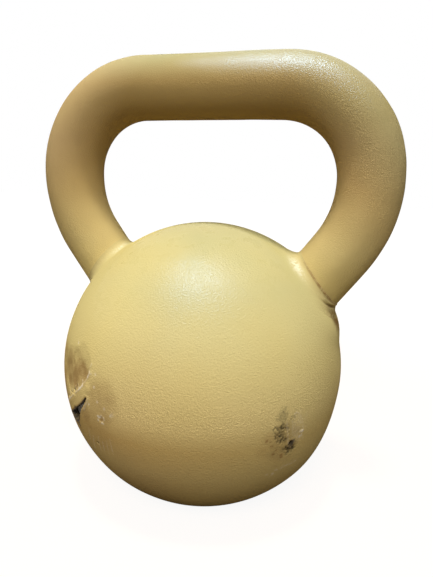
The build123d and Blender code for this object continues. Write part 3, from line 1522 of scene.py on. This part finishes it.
def right_wear(radius: float) -> MarkedPlace:
    """Describe the puncture, the scorched spots and the scratches low on the right of the ball.

    Args:
        radius: Radius of the ball in millimetres.

    Returns:
        The worn place.
    """
    corners = 16
    turns = [corner * 2.0 * pi / corners for corner in range(corners)]
    puncture = tuple((1.6 + 1.4 * cos(turn), -5.0 + 2.2 * sin(turn)) for turn in turns)
    scorched = (
        ((-8.8, 5.7), (-6.9, 5.4), (-5.2, 5.7)), ((-4.9, 6.5), (-5.0, 3.6)), ((-3.1, 5.2), (-1.4, 4.6)),
        ((-8.2, 3.0), (-6.8, 0.4), (-6.4, -2.1)), ((-4.4, 2.2), (-3.7, -0.4), (-3.1, -1.6)),
        ((-1.2, -7.1), (0.5, -7.3), (1.7, -9.6)),
    )
    spots = (
        (-5.0, 5.4), (-3.5, 5.0), (-4.0, -0.6), (-2.0, -1.8), (-5.6, 0.9), (-4.7, -2.1), (0.6, -7.4),
        (3.6, -8.0), (1.4, -9.8),
    )
    smears = (
        ((-4.6, 4.9), (3.8, 2.6)), ((-4.0, -0.4), (3.8, 3.6)), ((1.6, -7.4), (4.2, 4.4)),
        ((-5.0, 2.4), (2.8, 3.4)),
    )
    dots = ((-5.1, 13.2), (-6.3, 11.1), (-0.3, 8.8), (0.3, 9.9), (1.8, 9.4), (-3.6, 9.0))
    specks = (
        (-12.2, -0.1), (-10.5, -1.1), (-7.4, -8.6), (-2.5, -10.5), (-6.3, -6.3), (-2.2, -11.8),
        (-9.0, -3.6),
    )
    streaks = (
        ((1.8, 10.1), (3.6, -2.2)), ((4.0, 10.2), (7.0, -4.8)), ((6.6, 8.2), (9.6, -5.1)),
        ((0.6, 7.3), (2.1, -0.3)), ((2.9, 9.6), (5.2, -3.6)), ((5.4, 8.8), (8.2, -4.6)),
        ((-2.6, 8.0), (-1.0, -0.6)), ((-1.6, 2.6), (0.2, -4.2)),
    )
    dashes = (
        (-7.1, -22.3), (-3.6, -23.0), (-2.2, -20.8), (0.5, -20.1), (3.4, -19.6), (6.0, -19.9), (9.0, -19.1),
    )
    marks = (
        Stain(Mask.SOOT_AND_SHADE, (-3.0, 0.5), half=(8.5, 13.0), strength=0.16, ragged=0.4, pitch=3.0),
        Stain(Mask.SOOT_AND_SHADE, (-4.9, 10.8), half=(3.2, 5.0), strength=0.34, ragged=0.5, pitch=1.6),
        *(Stain(Mask.SOOT_AND_SHADE, centre, half=half, strength=0.48, rise=-0.12, ragged=0.6, pitch=1.6)
          for centre, half in smears),
        *(Stroke(Mask.SOOT_AND_SHADE, line, width=1.4, strength=0.68, rise=-0.08, ragged=0.8, pitch=0.9)
          for line in scorched),
        *(Stain(Mask.SOOT_AND_SHADE, spot, half=(1.4, 1.2), strength=0.85, rise=-0.08, ragged=0.7, pitch=0.9)
          for spot in spots),
        Stain(Mask.SOOT_AND_SHADE, (1.8, -6.0), half=(3.2, 4.2), strength=0.85, ragged=0.6, pitch=1.2),
        *(Stain(Mask.SOOT_AND_SHADE, dot, half=(0.8, 0.9), strength=0.50, ragged=0.6, pitch=0.9) for dot in dots),
        *(Stain(Mask.GRIME_AND_SHADE, speck, half=(1.1, 1.0), strength=0.80, ragged=0.5, pitch=1.2)
          for speck in specks),
        Stain(Mask.GRIME_AND_SHADE, (-4.0, -5.0), half=(11.0, 12.0), strength=0.30, ragged=0.4, pitch=4.0),
        Stain(Mask.PALE_AND_HIGHLIGHT, (5.0, 3.0), half=(5.5, 9.0), strength=0.12, ragged=0.4, pitch=2.0),
        *(Stroke(Mask.PALE_AND_HIGHLIGHT, streak, width=0.60, strength=0.26, rise=-0.06, ragged=0.5, pitch=2.0)
          for streak in streaks),
        Stroke(Mask.PALE_AND_HIGHLIGHT, ((1.6, 10.7), (2.8, 11.1), (4.2, 10.5)),
               width=0.60, strength=0.50, rise=0.06, ragged=0.7),
        Stain(Mask.PALE_AND_HIGHLIGHT, (7.5, 0.0), half=(1.8, 0.9), strength=1.00, rise=0.15, ragged=0.1),
        Stain(Mask.PALE_AND_HIGHLIGHT, (6.5, -2.8), half=(0.8, 1.2), strength=0.80),
        Stain(Mask.PALE_AND_HIGHLIGHT, (7.8, -2.4), half=(0.7, 1.0), strength=0.70),
        Stroke(Mask.PALE_AND_HIGHLIGHT, ((-2.2, -20.8), (3.4, -19.6), (9.0, -19.1)),
               width=2.20, strength=0.12, ragged=0.5),
        *(Stain(Mask.PALE_AND_HIGHLIGHT, dash, half=(1.3, 0.8), strength=0.40, ragged=0.5, pitch=1.0)
          for dash in dashes),
    )
    return MarkedPlace(
        SkinPatch(46.0, -7.0, radius),
        low=(-24.0, -30.0),
        high=(22.0, 24.0),
        marks=marks,
        fine_low=(-14.0, -25.0),
        fine_high=(13.0, 16.0),
        holes=(puncture,),
        lip_rise=0.20,
        lip_width=1.5,
    )


@dataclass
class Studio:
    """The floor, the lamps and the camera.

    The camera's place and its sensor are in millimetres, everything else in metres and watts.
    """

    ball_centre: np.ndarray
    azimuth: float = 15.243
    elevation: float = 12.782
    roll: float = 1.806
    distance: float = 277.6
    aside: float = 6.4
    above: float = 41.28
    focal_pixels: float = 467.0
    sensor: float = 36.0
    clip_start: float = 0.01
    floor_half: float = 4.0
    floor_cells: int = 8
    floor_tone: Colour = (0.12, 0.085, 0.050, 1.0)
    floor_glow: Point = (0.92, 1.0)
    glow_reach: Point = (0.20, 0.55)
    world_level: float = 0.40
    key_direction: Triple = (0.0, -0.165, 0.986)
    glints: tuple[tuple[Triple, float], ...] = (
        ((-0.14, -0.17, 0.976), 74.0),
        ((0.12, -0.145, 0.982), 42.0),
    )
    glint_colour: Triple = (0.52, 0.74, 1.0)
    key_distance: float = 1.6
    key_size: float = 0.22
    glint_size: float = 0.10
    key_power: float = 18.0
    panel_direction: Triple = (0.08, -0.69, 0.72)
    panel_distance: float = 1.6
    panel_size: float = 0.6
    panel_power: float = 13.7

    def build(self) -> None:
        """Set up the whole studio."""
        self._floor()
        self._world()
        centre = Vector(self.ball_centre * MM)
        key = self._lamp("key_lamp", centre + Vector(self.key_direction) * self.key_distance,
                         self.key_size, self.key_power)
        key.visible_glossy = False
        for number, (direction, power) in enumerate(self.glints, 1):
            glint = self._lamp(f"glint_lamp_{number}", centre + Vector(direction) * self.key_distance,
                               self.glint_size, power)
            glint.visible_diffuse = False
            glint.data.color = self.glint_colour
        panel = self._lamp("panel_lamp", centre + Vector(self.panel_direction) * self.panel_distance,
                           self.panel_size, self.panel_power)
        panel.visible_glossy = False
        self._camera()
        bpy.context.scene.view_settings.view_transform = "Standard"

    def _seen(self, tree: bpy.types.NodeTree) -> bpy.types.NodeSocket:
        """Tell camera, glossy and transmission rays from the rest.

        Args:
            tree: Node tree of a material or of the world.

        Returns:
            1 for these rays and 0 for the rest.
        """
        path = tree.nodes.new("ShaderNodeLightPath")
        total = path.outputs["Is Camera Ray"]
        for ray in ("Is Glossy Ray", "Is Transmission Ray"):
            node = tree.nodes.new("ShaderNodeMath")
            node.operation = "MAXIMUM"
            tree.links.new(total, node.inputs[0])
            tree.links.new(path.outputs[ray], node.inputs[1])
            total = node.outputs[0]
        return total

    def _floor(self) -> None:
        """Lay the floor: white to the eye, with the object's shadow, and plain grey as a reflector."""
        ground = bmesh.new()
        bmesh.ops.create_grid(ground, x_segments=self.floor_cells, y_segments=self.floor_cells,
                              size=self.floor_half)
        mesh = bpy.data.meshes.new("studio_floor")
        ground.to_mesh(mesh)
        ground.free()
        floor = bpy.data.objects.new("studio_floor", mesh)
        bpy.context.scene.collection.objects.link(floor)
        sheet = NodeSheet("studio_floor")
        seen = self._seen(sheet.tree)
        matt = sheet.add("ShaderNodeBsdfDiffuse")
        matt.inputs["Color"].default_value = self.floor_tone
        glow = sheet.add("ShaderNodeEmission")
        reach = sheet.add("ShaderNodeVectorMath", operation="LENGTH")
        sheet.join(sheet.place, reach.inputs[0])
        level = sheet.remap(reach.outputs["Value"], *self.glow_reach, *self.floor_glow)
        sheet.join(sheet.math("MULTIPLY", seen, level), glow.inputs["Strength"])
        both = sheet.add("ShaderNodeAddShader")
        sheet.join(matt.outputs[0], both.inputs[0])
        sheet.join(glow.outputs[0], both.inputs[1])
        sheet.join(both.outputs[0], sheet.output.inputs["Surface"])
        mesh.materials.append(sheet.material)

    def _world(self) -> None:
        """Make the surroundings white to the eye and a soft even light on the object."""
        world = bpy.data.worlds.new("studio")
        bpy.context.scene.world = world
        world.use_nodes = True
        tree = world.node_tree
        seen = self._seen(tree)
        level = tree.nodes.new("ShaderNodeMapRange")
        level.inputs["To Min"].default_value = self.world_level
        tree.links.new(seen, level.inputs["Value"])
        back = tree.nodes["Background"]
        back.inputs["Color"].default_value = WHITE
        tree.links.new(level.outputs["Result"], back.inputs["Strength"])

    def _lamp(self, name: str, place: Vector, size: float, power: float) -> bpy.types.Object:
        """Hang a round lamp that points at the ball.

        Args:
            name: Name of the lamp.
            place: Where it hangs, in metres.
            size: Its diameter in metres.
            power: Its power in watts.

        Returns:
            The lamp's object.
        """
        lamp = bpy.data.lights.new(name, "AREA")
        lamp.shape = "DISK"
        lamp.size = size
        lamp.energy = power
        holder = bpy.data.objects.new(name, lamp)
        holder.location = place
        aim = Vector(self.ball_centre * MM) - place
        holder.rotation_euler = aim.to_track_quat("-Z", "Y").to_euler()
        bpy.context.scene.collection.objects.link(holder)
        return holder

    def _camera(self) -> None:
        """Put the camera where the photograph was taken from."""
        turn, lift, roll = radians(self.azimuth), radians(self.elevation), radians(self.roll)
        back = Vector((sin(turn) * cos(lift), -cos(turn) * cos(lift), sin(lift)))
        level = Vector((cos(turn), sin(turn), 0.0))
        rise = back.cross(level)
        right = cos(roll) * level + sin(roll) * rise
        up = cos(roll) * rise - sin(roll) * level
        place = Vector(self.ball_centre) + back * self.distance + right * self.aside + up * self.above
        lens = bpy.data.cameras.new("photo_camera")
        lens.sensor_width = self.sensor
        lens.lens = self.sensor * self.focal_pixels / max(PHOTO_WIDTH, PHOTO_HEIGHT)
        lens.clip_start = self.clip_start
        camera = bpy.data.objects.new("photo_camera", lens)
        turned = Matrix((right, up, back)).transposed().to_4x4()
        camera.matrix_world = Matrix.Translation(place * MM) @ turned
        bpy.context.scene.collection.objects.link(camera)
        bpy.context.scene.camera = camera


def main() -> None:
    """Build and dress every piece in order, then set up the studio."""
    logging.basicConfig(level=logging.INFO, format="%(name)s: %(message)s")
    handle = BarHandle()
    feet = tuple(handle.foot(side)[0] for side in Side)
    # The right flank's place holds no wear, only the horn's painted shadow.
    worn = tuple(wear(BallJacket.radius) for wear in (left_wear, right_wear, right_flank_shadow))
    jacket = BallJacket(worn, feet)
    IronCore().dress()
    LOG.info("ball_core dressed")
    left_collar = WeldCollar(Side.LEFT, handle, jacket.radius, jacket.centre)
    # The right ring gets painted shade in its crease and fold, the horn's painted shadow and a painted
    # highlight.
    right_collar = WeldCollar(
        Side.RIGHT, handle, jacket.radius, jacket.centre, spread=9.0, climb=4.2, gather=0.38, lip=0.55,
        roll=0.3, fold_depth=0.9, painted_shadow=1.0, painted_sheen=0.85, sheen_turn=132.0,
    )
    for maker in (handle, left_collar, right_collar, jacket):
        piece = maker.build()
        maker.dress(piece)
        LOG.info("%s built with %d faces", piece.name, len(piece.data.polygons))
    Studio(jacket.centre).build()


if __name__ == "__main__":
    main()
